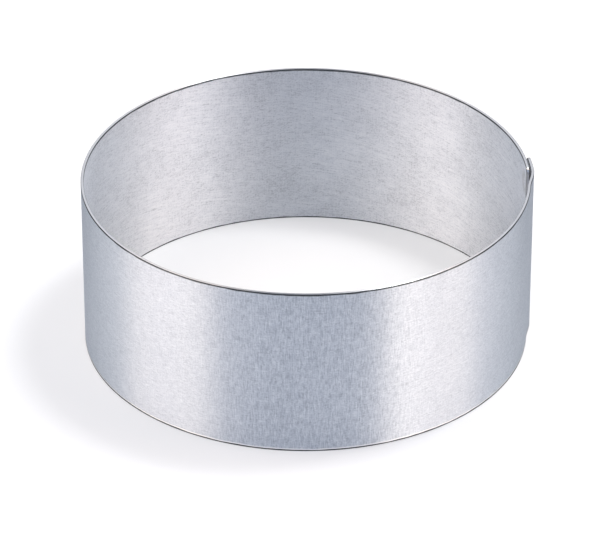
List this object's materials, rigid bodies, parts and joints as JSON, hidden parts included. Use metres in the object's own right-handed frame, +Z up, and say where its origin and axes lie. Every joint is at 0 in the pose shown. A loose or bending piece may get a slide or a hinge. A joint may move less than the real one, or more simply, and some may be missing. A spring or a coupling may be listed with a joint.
{
  "type": "cake ring",
  "caption": "Plain round pastry ring of satin stainless sheet, open at top and bottom, with a lapped and spot-welded seam, stood on a tray to shape, bake, set or cut a cake.",
  "frame": {"origin": "on the ring's axis, in the plane of its lower rim", "axes": "+Z up along the ring's axis, +X towards the lapped seam, -Y towards the viewer of the picture"},
  "size_m": [0.1514, 0.15, 0.06],
  "materials": {
    "satin_steel": "satin rolled stainless sheet with a fine brushed grain, cool grey",
    "weld_steel": "re-melted stainless steel, dull, slightly straw coloured by heat"
  },
  "bodies": {
    "root": {"ring_band": "satin_steel", "spot_weld_1": "weld_steel", "spot_weld_2": "weld_steel", "spot_weld_3": "weld_steel", "spot_weld_4": "weld_steel"}
  },
  "joints": []
}
